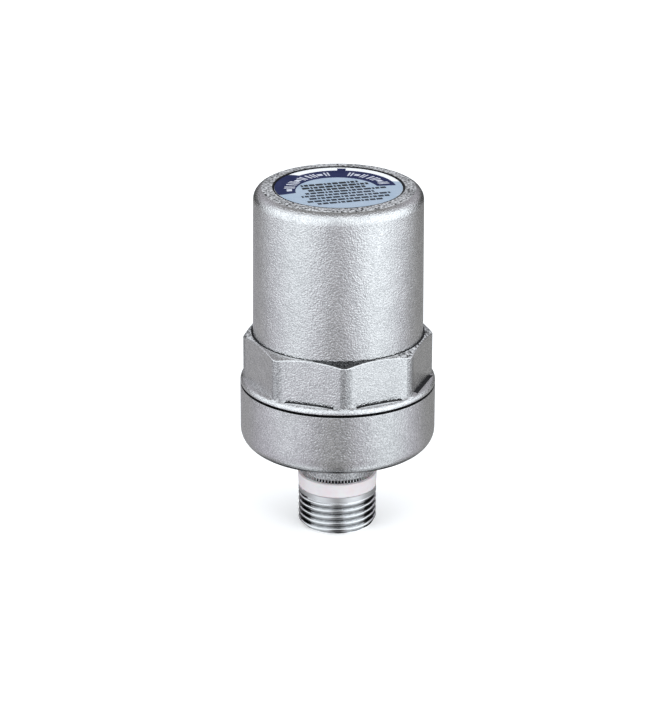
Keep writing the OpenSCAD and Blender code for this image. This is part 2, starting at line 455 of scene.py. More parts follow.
class Look(Enum):
    """Every finish on the arrestor."""

    BELL = ForgedChrome(
        "bell_satin_chrome", rgb(0.64, 0.645, 0.65), rgb(0.95, 0.95, 0.95), 0.12, 0.2, 0.12
    )
    CUP = ForgedChrome("cup_satin_chrome", rgb(0.62, 0.625, 0.63), rgb(0.94, 0.94, 0.94), 0.13, 0.21, 0.12)
    # Grainy chrome whose near-black specks are painted dark reflections; on the rim, and on the ledge at the
    # sides and behind.
    RIM_SPECKLE = ForgedChrome(
        "rim_pitted_painted_specks", rgb(0.015, 0.015, 0.016), rgb(0.8, 0.8, 0.81), 0.3, 0.5, 0.08,
        per_mm=1.4, metallic=0.3,
    )
    # Dimmer chrome as painted shade: the octagon's corners, a band above the cup's lower edge and the collar
    # under the cup.
    DIM_SHADE = ForgedChrome(
        "chrome_dim_painted_shade", rgb(0.38, 0.385, 0.39), rgb(0.72, 0.72, 0.72), 0.2, 0.34, 0.2
    )
    LAND = TurnedMetal(
        "thread_land_chrome", rgb(0.82, 0.825, 0.83), rgb(0.96, 0.96, 0.96), 0.38, 0.48, 0.01, per_mm=2.0
    )
    TURNED = TurnedMetal("turned_chrome", rgb(0.84, 0.85, 0.86), rgb(0.93, 0.935, 0.94), 0.06, 0.13, 0.004)
    # Near-black chrome as painted shade: the thread's roots, mostly at the sides, a line near the thread's
    # end and the cup's lower edge.
    DEEP_SHADE = TurnedMetal(
        "chrome_deep_painted_shade", rgb(0.03, 0.03, 0.032), rgb(0.1, 0.1, 0.105), 0.2, 0.32, 0.004
    )
    # Darker chrome as painted shade in the thread's roots at the front.
    MID_SHADE = TurnedMetal(
        "thread_groove_painted_shade", rgb(0.32, 0.325, 0.33), rgb(0.46, 0.465, 0.47), 0.16, 0.26, 0.004
    )
    # Slightly dimmer chrome as milder painted shade beside the octagon's corners.
    SOFT_SHADE = ForgedChrome(
        "corner_soft_painted_shade", rgb(0.52, 0.525, 0.53), rgb(0.84, 0.84, 0.84), 0.18, 0.3, 0.15
    )
    # Dark chrome as painted shade on the ledge at the front corner.
    LEDGE_SHADE = ForgedChrome("ledge_painted_shade_chrome", rgb(0.02, 0.02, 0.022), rgb(0.2, 0.2, 0.205), 0.3, 0.45, 0.1)
    # Near-black painted shade, put in the joint gap, the ring round the label, the crevices at the bell's and
    # the flats' feet and the collar's notches.
    PAINTED_SHADE = Polymer(
        "crevice_painted_shade", rgb(0.008, 0.008, 0.009), rgb(0.02, 0.02, 0.022), 0.5, 0.7, 0.02, specular=0.1
    )
    SEAL = Polymer(
        "white_seal_polymer", rgb(0.675, 0.605, 0.622), rgb(0.7, 0.68, 0.685), 0.38, 0.5, 0.01,
        translucency=0.15,
    )
    FILM = Polymer(
        "label_white_film", rgb(0.92, 0.925, 0.94), rgb(0.95, 0.955, 0.965), 0.3, 0.4, 0.004, coat=0.1
    )
    FIELD_INK = Polymer("label_pale_ink", rgb(0.34, 0.43, 0.54), rgb(0.4, 0.48, 0.58), 0.32, 0.42, 0.004)
    BAND_INK = Polymer(
        "label_blue_ink", rgb(0.006, 0.012, 0.065), rgb(0.012, 0.02, 0.085), 0.36, 0.47, 0.004, specular=0.1
    )
    MARK_INK = Polymer("label_white_ink", rgb(0.55, 0.57, 0.65), rgb(0.65, 0.67, 0.74), 0.34, 0.44, 0.004)
    BOLD_INK = Polymer(
        "label_dark_ink", rgb(0.004, 0.008, 0.012), rgb(0.01, 0.016, 0.022), 0.34, 0.44, 0.004, specular=0.2
    )
    ROW_INK = Polymer(
        "label_grey_ink", rgb(0.01, 0.016, 0.026), rgb(0.03, 0.04, 0.06), 0.34, 0.44, 0.004, specular=0.2
    )
    RUBBER = Polymer(
        "black_seal_rubber", rgb(0.012, 0.012, 0.013), rgb(0.025, 0.025, 0.026), 0.5, 0.65, 0.015
    )
    POLYMER = Polymer(
        "piston_grey_polymer", rgb(0.02, 0.022, 0.024), rgb(0.045, 0.048, 0.052), 0.35, 0.48, 0.008
    )
    WIRE = TurnedMetal(
        "spring_drawn_wire", rgb(0.5, 0.51, 0.52), rgb(0.62, 0.63, 0.64), 0.18, 0.3, 0.004, per_mm=3.0
    )


class Palette:
    """The finishes as Blender materials, each made once."""

    def __init__(self, effects: SurfaceEffects) -> None:
        """Makes the materials of all the finishes, with the shared node groups."""
        self._made = {look: look.value.material(effects) for look in Look}

    def pick(self, *looks: Look) -> list[bpy.types.Material]:
        """Gives the materials of some finishes, in the same order."""
        return [self._made[look] for look in looks]


@dataclass(frozen=True)
class Corner:
    """A corner of a turned profile, with the radius that rounds it off."""

    r: float
    z: float
    radius: float = 0.0


@dataclass(frozen=True)
class Ring:
    """One ring of a turned surface: radius and height at each angle, and the finish above it."""

    r: np.ndarray
    z: np.ndarray
    finish: np.ndarray


class Profile:
    """Turns a list of corners into the points of a smooth profile."""

    ARC_STEP = math.radians(11)
    SUPPORT = 0.12
    LONG_RUN = 5 * SUPPORT

    @classmethod
    def points(cls, corners: Sequence[Corner]) -> list[tuple[float, float]]:
        """Rounds the corners and adds supporting points beside them on the straight runs.

        Args:
            corners: The profile's corners in order.

        Returns:
            The profile as radius and height pairs.
        """
        places = [np.array([corner.r, corner.z]) for corner in corners]
        out = [places[0]]
        for i in range(1, len(corners) - 1):
            out.extend(cls._arc(*places[i - 1 : i + 2], corners[i].radius))
        out.append(places[-1])
        return [(float(p[0]), float(p[1])) for p in cls._supported(out)]

    @classmethod
    def _arc(cls, before: np.ndarray, here: np.ndarray, after: np.ndarray, radius: float) -> list[np.ndarray]:
        """Rounds one corner.

        Args:
            before: The corner before it.
            here: The corner.
            after: The corner after it.
            radius: The radius that rounds it off, or 0 to keep it sharp.

        Returns:
            The points of the rounded corner.
        """
        if radius <= 0:
            return [here]
        back = (before - here) / np.linalg.norm(before - here)
        ahead = (after - here) / np.linalg.norm(after - here)
        half = math.acos(float(np.clip(back @ ahead, -1, 1))) / 2
        reach = radius / math.tan(half)
        bisector = (back + ahead) / np.linalg.norm(back + ahead)
        centre = here + bisector * radius / math.sin(half)
        start = here + back * reach - centre
        end = here + ahead * reach - centre
        sweep = math.pi - 2 * half
        steps = max(2, math.ceil(sweep / cls.ARC_STEP))
        out = []
        for share in np.linspace(0, 1, steps + 1):
            mixed = start * math.sin((1 - share) * sweep) + end * math.sin(share * sweep)
            out.append(centre + mixed / math.sin(sweep))
        return out

    @classmethod
    def _supported(cls, points: list[np.ndarray]) -> list[np.ndarray]:
        """Adds points close to both ends of each long straight run.

        Args:
            points: The profile's points in order.

        Returns:
            The same points with the supporting ones between them.
        """
        out: list[np.ndarray] = []
        for a, b in zip(points, points[1:]):
            out.append(a)
            length = float(np.linalg.norm(b - a))
            if length > cls.LONG_RUN:
                step = (b - a) / length * cls.SUPPORT
                out.extend([a + step, b - step])
        return [*out, points[-1]]


class Lathe:
    """Makes closed meshes of rings around the axis."""

    ON_AXIS = 1e-9

    def __init__(self, angles: np.ndarray) -> None:
        """Keeps the angles at which every ring has a point.

        Args:
            angles: Rising angles in radians, less than a full turn.
        """
        self.angles = angles

    @classmethod
    def even(cls, steps: int) -> "Lathe":
        """Gives a lathe with evenly spaced points."""
        return cls(np.arange(steps) * 2 * math.pi / steps)

    def ring(self, r: Any, z: Any, finish: Any = 0) -> Ring:
        """Makes a ring from numbers or from values at each angle.

        Args:
            r: The ring's radius.
            z: Its height.
            finish: The number of the finish above it.

        Returns:
            The ring.
        """
        shape = self.angles.shape
        return Ring(
            np.broadcast_to(r, shape).astype(float),
            np.broadcast_to(z, shape).astype(float),
            np.broadcast_to(finish, shape).astype(int),
        )

    def rings(self, points: Sequence[tuple[float, float]], finish: int = 0) -> list[Ring]:
        """Makes plain rings from the points of a profile."""
        return [self.ring(r, z, finish) for r, z in points]

    def mesh(
        self, name: str, rings: Sequence[Ring], closed: bool, materials: Sequence[bpy.types.Material]
    ) -> bpy.types.Object:
        """Joins the rings into a mesh; a first or last ring on the axis becomes one point.

        Args:
            name: The piece's name.
            rings: The rings in order, with the surface's outside on their right going up.
            closed: Whether the last ring joins the first.
            materials: The piece's materials, which each ring's finish number picks from.

        Returns:
            The new object.
        """
        count = len(self.angles)
        points: list[np.ndarray] = []
        index: list[np.ndarray] = []
        for ring in rings:
            if ring.r.max() < self.ON_AXIS:
                index.append(np.full(count, len(points)))
                points.append(np.array([0.0, 0.0, ring.z[0]]))
                continue
            index.append(np.arange(len(points), len(points) + count))
            places = (ring.r * np.cos(self.angles), ring.r * np.sin(self.angles), ring.z)
            points.extend(np.stack(places, axis=1))
        faces: list[tuple[int, ...]] = []
        finish: list[int] = []
        pairs = len(rings) if closed else len(rings) - 1
        for i in range(pairs):
            a, b = index[i], index[(i + 1) % len(rings)]
            for k in range(count):
                n = (k + 1) % count
                faces.append(tuple(dict.fromkeys((int(a[k]), int(a[n]), int(b[n]), int(b[k])))))
                finish.append(int(rings[i].finish[k]))
        return make_piece(name, np.array(points), faces, materials, finish)


def azimuths(angles: np.ndarray) -> np.ndarray:
    """Gives each angle's turn from the front, in degrees, rising to the right."""
    return np.mod(np.degrees(angles) + 270, 360) - 180


def make_piece(
    name: str,
    points: np.ndarray,
    faces: Sequence[Sequence[int]],
    materials: Sequence[bpy.types.Material],
    finish: Sequence[int] | None = None,
) -> bpy.types.Object:
    """Makes a smooth-shaded object from points in millimetres.

    Args:
        name: The piece's name.
        points: The points, one row each.
        faces: The corner numbers of each face.
        materials: The piece's materials.
        finish: The material number of each face, or None for the first throughout.

    Returns:
        The new object, linked to the scene.
    """
    mesh = bpy.data.meshes.new(name)
    mesh.from_pydata((points * MM).tolist(), [], [list(f) for f in faces])
    for material in materials:
        mesh.materials.append(material)
    if finish is not None:
        mesh.polygons.foreach_set("material_index", np.array(finish, dtype=np.int32))
    mesh.polygons.foreach_set("use_smooth", np.ones(len(mesh.polygons), dtype=bool))
    mesh.set_sharp_from_angle(angle=SHARP_ANGLE)
    mesh.validate()
    mesh.update()
    piece = bpy.data.objects.new(name, mesh)
    bpy.context.scene.collection.objects.link(piece)
    return piece


def seat(piece: bpy.types.Object, body: Body, slot: Slot, *replaced: Part) -> bpy.types.Object:
    """Puts a piece on its body.

    Args:
        piece: The piece, in place.
        body: The CAD body that it rides on.
        slot: The record's material slot of its finish; not used.
        *replaced: The CAD nodes that it stands for.

    Returns:
        The piece.
    """
    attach(piece, body.value)
    if replaced:
        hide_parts(*(part.value for part in replaced))
    LOG.info("%s: %d faces on %s", piece.name, len(piece.data.polygons), body.value)
    return piece


class CupZone(IntEnum):
    """The zones of the cup's surface, in the order of its finishes."""

    FORGED = 0
    TURNED = 1
    PAINTED_SHADE = 2
    DEEP_SHADE = 3
    LAND = 4
    DIM_SHADE = 5
    MID_SHADE = 6


@dataclass
class Cup:
    """The chromed cup with its serrated collar and threaded inlet."""

    pitch: float = 1.814
    thread_depth: float = 0.640327
    thread_sharp: float = 0.960491
    flank_bend: float = 1.6
    crest_bend: float = 1.9
    run_out: float = 0.4
    major_d: float = 20.955
    end_chamfer: float = 1.15
    bore_d: float = 15.0
    bore_chamfer: float = 0.4
    bore_r: float = 0.5
    end_gap: float = 0.05
    neck_d: float = 18.0
    collar_d: float = 20.0
    collar_h: float = 8.3
    teeth: int = 72
    tooth_depth: float = 0.45
    flare_in: float = 0.15
    flare_out: float = 0.7
    flare_drop: float = 0.12
    flare_r: float = 0.25
    edge_r: float = 5.0
    rim_r: float = 0.08
    zone_w: float = 0.1
    floor_t: float = 3.5
    seat_d: float = 45.0
    seat_r: float = 1.0
    joint_d: float = 47.0
    joint_len: float = 7.2
    joint_gap_h: float = 0.75
    joint_gap_depth: float = 1.8
    thread_step: float = 0.09
    thread_land: float = 1.6
    land_lap: float = 0.1
    first_groove: float = 2.4
    # A painted dark line near the thread's end, and the share of each root that gets painted shade, in front
    # and at the sides.
    end_line: float = 0.8
    end_line_w: float = 0.2
    root_share: float = 0.34
    side_root_share: float = 0.86
    side_deg: Span = (50.0, 66.0)
    tooth_h: float = 0.7
    tooth_break: float = 0.12
    break_rise: Span = (0.02, 0.14)
    flute_from: float = 1.5
    flute_end: Span = (0.9, 0.35)
    teeth_deg: float = 38.0
    flute_depth: float = 0.06
    # The bands of painted shade along the lower edge of the cup's outside.
    shade_h: float = 1.3
    dim_shade_h: float = 2.0
    shade_r: float = 22.6

    def build(self, palette: Palette) -> bpy.types.Object:
        """Makes the cup's mesh and seats it.

        Args:
            palette: The finishes.

        Returns:
            The piece.
        """
        extent = Extent.of(Part.CUP)
        ring = Extent.of(Part.THREAD_SEAL)
        lathe = Lathe.even(POINTS_PER_TOOTH * self.teeth)
        rings = [
            *self._thread(lathe, ring.bottom),
            *self._neck(lathe, ring),
            *self._shell(lathe, extent, ring.top + self.collar_h),
        ]
        looks = (Look.CUP, Look.TURNED, Look.PAINTED_SHADE, Look.DEEP_SHADE, Look.LAND, Look.DIM_SHADE, Look.MID_SHADE)
        piece = lathe.mesh("cup", rings, True, palette.pick(*looks))
        return seat(piece, Body.HOUSING, Slot.CUP, Part.CUP)

    def _thread(self, lathe: Lathe, top: float) -> list[Ring]:
        """Gives the rings of the helical inlet thread, from its end up.

        Args:
            lathe: The lathe that holds the angles.
            top: The height at which the thread ends.

        Returns:
            The rings, bright on the crests, with painted shade in the roots, near black and wider at the
            sides, and rough on the land.
        """
        depth = self.thread_depth * self.pitch
        sharp = self.thread_sharp * self.pitch
        middle = self.major_d / 2 - depth / 2
        end_r = self.major_d / 2 - self.end_chamfer
        turns = (lathe.angles + math.pi / 2) / (2 * math.pi)
        turned = np.abs(azimuths(lathe.angles))
        # Painted shade in the roots: a wider share and near-black chrome towards the sides.
        share = np.interp(turned, self.side_deg, (self.root_share, self.side_root_share))
        root = np.where(turned > self.side_deg[0], CupZone.DEEP_SHADE, CupZone.MID_SHADE)
        limit = depth / 2
        rings = []
        for z in np.linspace(0, top, round(top / self.thread_step) + 1):
            phase = np.mod((z - self.first_groove) / self.pitch - turns + 0.5, 1.0)
            wave = (np.abs(phase - 0.5) * 2 - 0.5) * sharp
            soft = limit * np.tanh(wave / limit * self.flank_bend) / math.tanh(self.crest_bend)
            r = middle + np.clip(soft, -limit, limit)
            fade = min(1.0, max(0.0, (top - self.thread_land - z) / (self.run_out * self.pitch) + 0.5))
            r = self.major_d / 2 - (self.major_d / 2 - r) * fade
            low = r < self.major_d / 2 - depth * (1 - share)
            # A painted dark line near the thread's end.
            low |= abs(z - self.end_line) < self.end_line_w / 2
            crest = CupZone.LAND if z > top - self.thread_land - self.land_lap else CupZone.TURNED
            rings.append(lathe.ring(np.minimum(r, end_r + z), z, np.where(low, root, crest)))
        return rings

    def _neck(self, lathe: Lathe, ring: Extent) -> list[Ring]:
        """Gives the groove that holds the seal ring and the serrated collar above it.

        Args:
            lathe: The lathe that holds the angles.
            ring: Where the seal ring lies.

        Returns:
            The rings, with painted shade in the notches between the teeth, near black at the front, and
            dimmer painted shade on the collar.
        """
        index = np.arange(len(lathe.angles)) % POINTS_PER_TOOTH
        tip = self.collar_d / 2
        tooth = np.where(index < 2, 0.0, self.tooth_depth)
        flute = np.where(index < 2, 0.0, self.flute_depth)
        front = np.abs(azimuths(lathe.angles)) < self.teeth_deg
        # The notches carry painted shade, near black at the front and dimmer at the sides.
        notch = np.where(index == 0, CupZone.FORGED, np.where(front, CupZone.PAINTED_SHADE, CupZone.DIM_SHADE))
        neck = self.neck_d / 2
        collar_top = ring.top + self.collar_h
        rows = (
            (neck, ring.bottom, CupZone.TURNED),
            (neck, ring.top, CupZone.TURNED),
            (tip - self.tooth_depth, ring.top, CupZone.PAINTED_SHADE),
            (tip - np.maximum(tooth, self.tooth_break), ring.top + self.break_rise[0], notch),
            (tip - tooth, ring.top + self.break_rise[1], notch),
            (tip - tooth, ring.top + self.tooth_h, CupZone.DIM_SHADE),
            (tip - flute, ring.top + self.flute_from * self.tooth_h, CupZone.DIM_SHADE),
            (tip - flute, collar_top - self.flute_end[0], CupZone.DIM_SHADE),
            (tip, collar_top - self.flute_end[1], CupZone.DIM_SHADE),
        )
        return [lathe.ring(*row) for row in rows]

    def _lower_finish(self, r: float, rise: float) -> int:
        """Picks the finish of the cup's outside.

        Args:
            r: The ring's radius.
            rise: The ring's height above the cup's underside.

        Returns:
            Painted deep shade along the lower edge with dimmer painted shade above it, forged elsewhere.
        """
        if r < self.shade_r or rise > self.dim_shade_h:
            return CupZone.FORGED
        return CupZone.DEEP_SHADE if rise < self.shade_h else CupZone.DIM_SHADE

    def _shell(self, lathe: Lathe, extent: Extent, under: float) -> list[Ring]:
        """Gives the bowl of the cup, outside and inside, and the inlet's bore.

        Args:
            lathe: The lathe that holds the angles.
            extent: Where the cup lies.
            under: The height of the cup's underside.

        Returns:
            The rings, in the forged finish but for the painted shade on the lower edge and in the joint gap.
        """
        r, rim = extent.radius, extent.top
        bore = self.bore_d / 2
        floor = under + self.floor_t
        joint_floor = rim - self.joint_len
        lip, gap = r - self.joint_gap_depth, rim - self.joint_gap_h
        outside = [
            Corner(self.collar_d / 2 + self.flare_in, under - self.flare_drop),
            Corner(self.collar_d / 2 + self.flare_out, under, self.flare_r),
            Corner(r, under, self.edge_r),
            Corner(r, gap, self.rim_r),
            Corner(r - self.zone_w, gap),
        ]
        joint = [
            Corner(r - 1.5 * self.zone_w, gap),
            Corner(lip, gap, SHARP_R),
            Corner(lip, rim, SHARP_R),
            Corner(lip - self.zone_w, rim),
        ]
        inside = [
            Corner(lip - 2 * self.zone_w, rim),
            Corner(self.joint_d / 2, rim, SOFT_R),
            Corner(self.joint_d / 2, joint_floor, TOOL_R),
            Corner(self.seat_d / 2, joint_floor, SOFT_R),
            Corner(self.seat_d / 2, floor, self.seat_r),
            Corner(bore, floor, self.bore_r),
            Corner(bore, self.bore_chamfer, TOOL_R),
            Corner(bore + self.bore_chamfer, 0.0, SHARP_R),
            Corner(self.major_d / 2 - self.end_chamfer - self.end_gap, 0.0),
        ]
        return [
            *(lathe.ring(x, z, self._lower_finish(x, z - under)) for x, z in Profile.points(outside)),
            # Painted shade fills the joint gap.
            *lathe.rings(Profile.points(joint), CupZone.PAINTED_SHADE),
            *lathe.rings(Profile.points(inside)),
        ]


class BellZone(IntEnum):
    """The zones of the bell's surface, in the order of its finishes."""

    FORGED = 0
    PAINTED_SHADE = 1
    RIM_SPECKLE = 2
    DIM_SHADE = 3
    LEDGE_SHADE = 4
    SOFT_SHADE = 5


@dataclass
class Bell:
    """The chromed bell with its flange, octagonal wrench section and label recess."""

    bell_d: float = 45.2
    bell_top_d: float = 44.7
    edge_r: float = 3.3
    rim_h: float = 0.4
    bell_h: float = 40.2
    recess_d: float = 34.0
    recess_depth: float = 0.4
    recess_lip: float = 0.15
    lip_line: float = 0.4
    flats_w: float = 47.0
    corner_r: float = 3.0
    flats_corner_d: float = 50.6
    flats_chamfer: float = 1.2
    flats_chamfer_deg: float = 30.0
    turn_deg: float = 4.0
    flats: int = 8
    half_flat_deg: float = 22.5
    flats_h: float = 12.0
    flange_edge_r: float = 1.5
    flats_edge: float = 0.35
    flats_support: Span = (0.12, 0.1)
    zone_gap: float = 0.02
    label_lap: float = 0.1
    corner_least: float = 0.1
    # Widths and angles of the painted shade in the crevices, at the octagon's corners and on the ledge.
    crevice_w: float = 0.95
    foot_crevice_w: float = 0.45
    corner_shade_deg: float = 2.7
    edge_deg: float = 3.9
    ledge_shade_deg: float = 21.0
    plain_front_deg: Span = (-62.0, 38.0)
    plain_at_deg: float = -78.0
    plain_deg: float = 30.0
    roof_t: float = 4.0
    roof_r: float = 1.5
    bore_d: float = 38.0
    boss_d: float = 20.0
    boss_h: float = 3.0
    boss_r: float = 0.5
    step_r: float = 0.3
    skirt_r: float = 0.4
    joint_d: float = 46.8
    spigot_d: float = 44.8
    joint_len: float = 7.1
    groove_h: float = 2.4
    groove_d: float = 40.8
    corner_offsets_deg: tuple[float, ...] = (0.0, 0.4, 0.8, 1.2, 1.8, 2.6)
    step_deg: float = 1.25
    least_step_deg: float = 0.35
    flange_rings: int = 10
    brow_rings: int = 6

    def build(self, palette: Palette) -> bpy.types.Object:
        """Makes the bell's mesh and seats it.

        Args:
            palette: The finishes.

        Returns:
            The piece.
        """
        extent = Extent.of(Part.BELL)
        rim = Extent.of(Part.CUP).top
        seal = Extent.of(Part.COVER_RING)
        lathe = Lathe(self._angles())
        ledge = extent.top - self.bell_h
        flange_top = ledge - self.flats_h
        seal_z = (seal.top + seal.bottom) / 2
        inside = Profile.points(self._inside(extent, rim, flange_top, seal_z))
        rings = [
            *lathe.rings(inside[::-1]),
            *self._flange(lathe, extent.radius, flange_top),
            *self._flats(lathe, ledge, flange_top),
            *self._dome(lathe, extent.top, ledge),
        ]
        looks = (Look.BELL, Look.PAINTED_SHADE, Look.RIM_SPECKLE, Look.DIM_SHADE, Look.LEDGE_SHADE, Look.SOFT_SHADE)
        piece = lathe.mesh("bell", rings, False, palette.pick(*looks))
        return seat(piece, Body.HOUSING, Slot.BELL, Part.BELL)

    def _angles(self) -> np.ndarray:
        """Chooses the angles of the bell's points.

        Returns:
            Even angles with extra ones at the corners of the octagon, in radians.
        """
        first = self.turn_deg - 90
        offsets = sorted({s * o for o in self.corner_offsets_deg for s in (-1, 1)})
        near = np.array([first + 2 * self.half_flat_deg * k + o for k in range(self.flats) for o in offsets])
        even = np.arange(0, 360, self.step_deg)
        gap = np.abs((even[:, None] - near[None, :] + 180) % 360 - 180).min(axis=1)
        return np.radians(np.sort(np.concatenate([even[gap > self.least_step_deg], near % 360])))

    def _from_flat(self, angles: np.ndarray) -> np.ndarray:
        """Gives each angle's turn from the middle of its flat, in radians."""
        eighth = math.radians(self.half_flat_deg)
        return np.mod(angles - math.radians(self.turn_deg - 90), 2 * eighth) - eighth

    def _corner_shade(self, angles: np.ndarray) -> np.ndarray:
        """Picks the finish of the octagon's walls.

        Args:
            angles: Angles about the axis in radians.

        Returns:
            Painted shade at the corners, with milder painted shade beside them.
        """
        off = self.half_flat_deg - np.degrees(np.abs(self._from_flat(angles)))
        beside = np.where(off < self.edge_deg, BellZone.SOFT_SHADE, BellZone.FORGED)
        return np.where(off < self.corner_shade_deg, BellZone.DIM_SHADE, beside)

    def _ledge_finish(self, angles: np.ndarray) -> np.ndarray:
        """Picks the ledge's finish.

        Args:
            angles: Angles about the axis in radians.

        Returns:
            Painted shade at the front corner, grainy with painted dark specks at the sides and behind, plain
            between.
        """
        azimuth = azimuths(angles)
        # The ledge's painted shade and specks are set by azimuth from the front.
        plain_front = (azimuth >= self.plain_front_deg[0]) & (azimuth <= self.plain_front_deg[1])
        grain_and_specks = np.where(plain_front, BellZone.FORGED, BellZone.RIM_SPECKLE)
        return np.where(np.abs(azimuth - self.turn_deg) < self.ledge_shade_deg, BellZone.LEDGE_SHADE, grain_and_specks)

    def _flat_radius(self, angles: np.ndarray) -> np.ndarray:
        """Gives the octagon's radius at each angle, with its corners rounded.

        Args:
            angles: Angles about the axis in radians.

        Returns:
            The radius of the octagon's outline at each angle.
        """
        eighth = math.radians(self.half_flat_deg)
        from_flat = self._from_flat(angles)
        from_corner = eighth - np.abs(from_flat)
        centre = (self.flats_w / 2 - self.corner_r) / math.cos(eighth)
        tangent = math.atan2(self.corner_r * math.sin(eighth), centre + self.corner_r * math.cos(eighth))
        plane = self.flats_w / 2 / np.cos(from_flat)
        inside = np.minimum(from_corner, tangent)
        arc = centre * np.cos(inside) + np.sqrt(self.corner_r**2 - (centre * np.sin(inside)) ** 2)
        return np.where(from_corner < tangent, arc, plane)

    def _dome(self, lathe: Lathe, top: float, ledge: float) -> list[Ring]:
        """Gives the ledge, the bell's wall, the rim and the label's recess.

        Args:
            lathe: The lathe that holds the angles.
            top: The height of the bell's top.
            ledge: The height of the octagon's top.

        Returns:
            The rings from the ledge up to the middle of the recess, with painted shade at the bell's foot,
            beside the label and round it.
        """
        floor = top - self.recess_depth
        wall = self.bell_d / 2
        mouth = self.recess_d / 2
        label_edge = Extent.of(Part.LABEL).radius
        foot = [(wall + self.foot_crevice_w, ledge), (wall + self.zone_gap, ledge)]
        outside = Profile.points(
            [
                Corner(wall, ledge + self.zone_gap),
                Corner(self.bell_top_d / 2, top, self.edge_r),
                Corner(mouth + self.lip_line, top),
                Corner(mouth, top, self.recess_lip / 2),
                Corner(mouth, top - self.recess_lip),
            ]
        )
        gap_top = top - self.recess_lip - self.zone_gap
        gap = [(mouth, gap_top), (mouth, floor), (label_edge, floor)]
        # Painted shade in the crevice at the bell's foot and in the ring between the label and the recess
        # wall.
        return [
            *lathe.rings(foot, BellZone.PAINTED_SHADE),
            *(lathe.ring(r, z, self._rim_finish(r, top - z)) for r, z in outside),
            *lathe.rings(gap, BellZone.PAINTED_SHADE),
            *lathe.rings([(label_edge - self.label_lap, floor), (0.0, floor)]),
        ]

    def _rim_finish(self, r: float, drop: float) -> int:
        """Picks the finish near the bell's top.

        Args:
            r: The ring's radius.
            drop: How far the ring lies below the top.

        Returns:
            Painted shade beside the label, grainy with painted dark specks on the rim, plain below.
        """
        if r < (self.recess_d + 2 * self.lip_line + SLACK) / 2:
            return BellZone.PAINTED_SHADE
        return BellZone.RIM_SPECKLE if drop < self.rim_h else BellZone.FORGED

    def _flange_at(self, run: np.ndarray, radius: float, top: float) -> tuple[np.ndarray, np.ndarray]:
        """Gives points on the flange's rounded top.

        Args:
            run: How far each point lies from the flange's wall, along the surface.
            radius: The flange's radius.
            top: The height of its upper face.

        Returns:
            The points' radii and heights.
        """
        edge = self.flange_edge_r
        bend = np.minimum(run / edge, math.pi / 2)
        flat = np.maximum(run - edge * math.pi / 2, 0.0)
        return radius - edge + edge * np.cos(bend) - flat, top - edge + edge * np.sin(bend)

    def _flange_run(self, lathe: Lathe, radius: float) -> np.ndarray:
        """Measures the flange's top.

        Args:
            lathe: The lathe that holds the angles.
            radius: The flange's radius.

        Returns:
            The length along the surface from the flange's wall to the octagon at each angle.
        """
        edge = self.flange_edge_r
        past = self._flat_radius(lathe.angles) - (radius - edge)
        bent = edge * np.arccos(np.clip(past / edge, 0.0, 1.0))
        return np.where(past > 0, bent, edge * math.pi / 2 - past)

    def _flange(self, lathe: Lathe, radius: float, top: float) -> list[Ring]:
        """Gives the flange's rounded top, with a painted shade line in the corner at each flat's foot, left
        out around the left side.

        Args:
            lathe: The lathe that holds the angles.
            radius: The flange's radius.
            top: The height of its upper face.

        Returns:
            The rings from the flange's wall in to the octagon.
        """
        full = self._flange_run(lathe, radius)
        plain = np.abs(azimuths(lathe.angles) - self.plain_at_deg) < self.plain_deg
        corner = full > self.flange_edge_r * math.pi / 2 + self.corner_least
        # A painted shade line in the crevice at each flat's foot.
        crevice_shade = np.where(corner & ~plain, BellZone.PAINTED_SHADE, BellZone.FORGED)
        runs = [(full - self.crevice_w) * share for share in np.linspace(0, 1, self.flange_rings)]
        rings = [lathe.ring(*self._flange_at(run, radius, top)) for run in runs[:-1]]
        return [*rings, lathe.ring(*self._flange_at(runs[-1], radius, top), crevice_shade)]

    def _flats(self, lathe: Lathe, ledge: float, flange_top: float) -> list[Ring]:
        """Gives the rings of the octagon, with painted shade at the corners and a chamfer like a nut's at its
        top.

        Args:
            lathe: The lathe that holds the angles.
            ledge: The height of the octagon's top.
            flange_top: The height of the flange below it.

        Returns:
            The rings from the flange up to the ledge.
        """
        radius = Extent.of(Part.BELL).radius
        flat = self._flat_radius(lathe.angles)
        _, foot = self._flange_at(self._flange_run(lathe, radius), radius, flange_top)
        slope = math.radians(self.flats_chamfer_deg)
        inner = self.flats_corner_d / 2 - self.flats_chamfer / math.tan(slope)
        brow = ledge - (flat - inner) * math.tan(slope)
        edge = self.flats_edge
        bend = math.pi / 2 - slope
        low = brow - edge * math.tan(bend / 2)
        arcs = np.linspace(0, bend, self.brow_rings)
        corner_shaded = self._corner_shade(lathe.angles)
        flat_top = self._ledge_finish(lathe.angles)
        upper = [lathe.ring(flat - edge + edge * math.cos(a), low + edge * math.sin(a)) for a in arcs[:-1]]
        last = lathe.ring(flat - edge + edge * math.cos(bend), low + edge * math.sin(bend), flat_top)
        return [
            lathe.ring(flat, foot, corner_shaded),
            lathe.ring(flat, foot + self.flats_support[0], corner_shaded),
            lathe.ring(flat, low - self.flats_support[1], corner_shaded),
            *upper,
            last,
            lathe.ring(inner, ledge, flat_top),
        ]

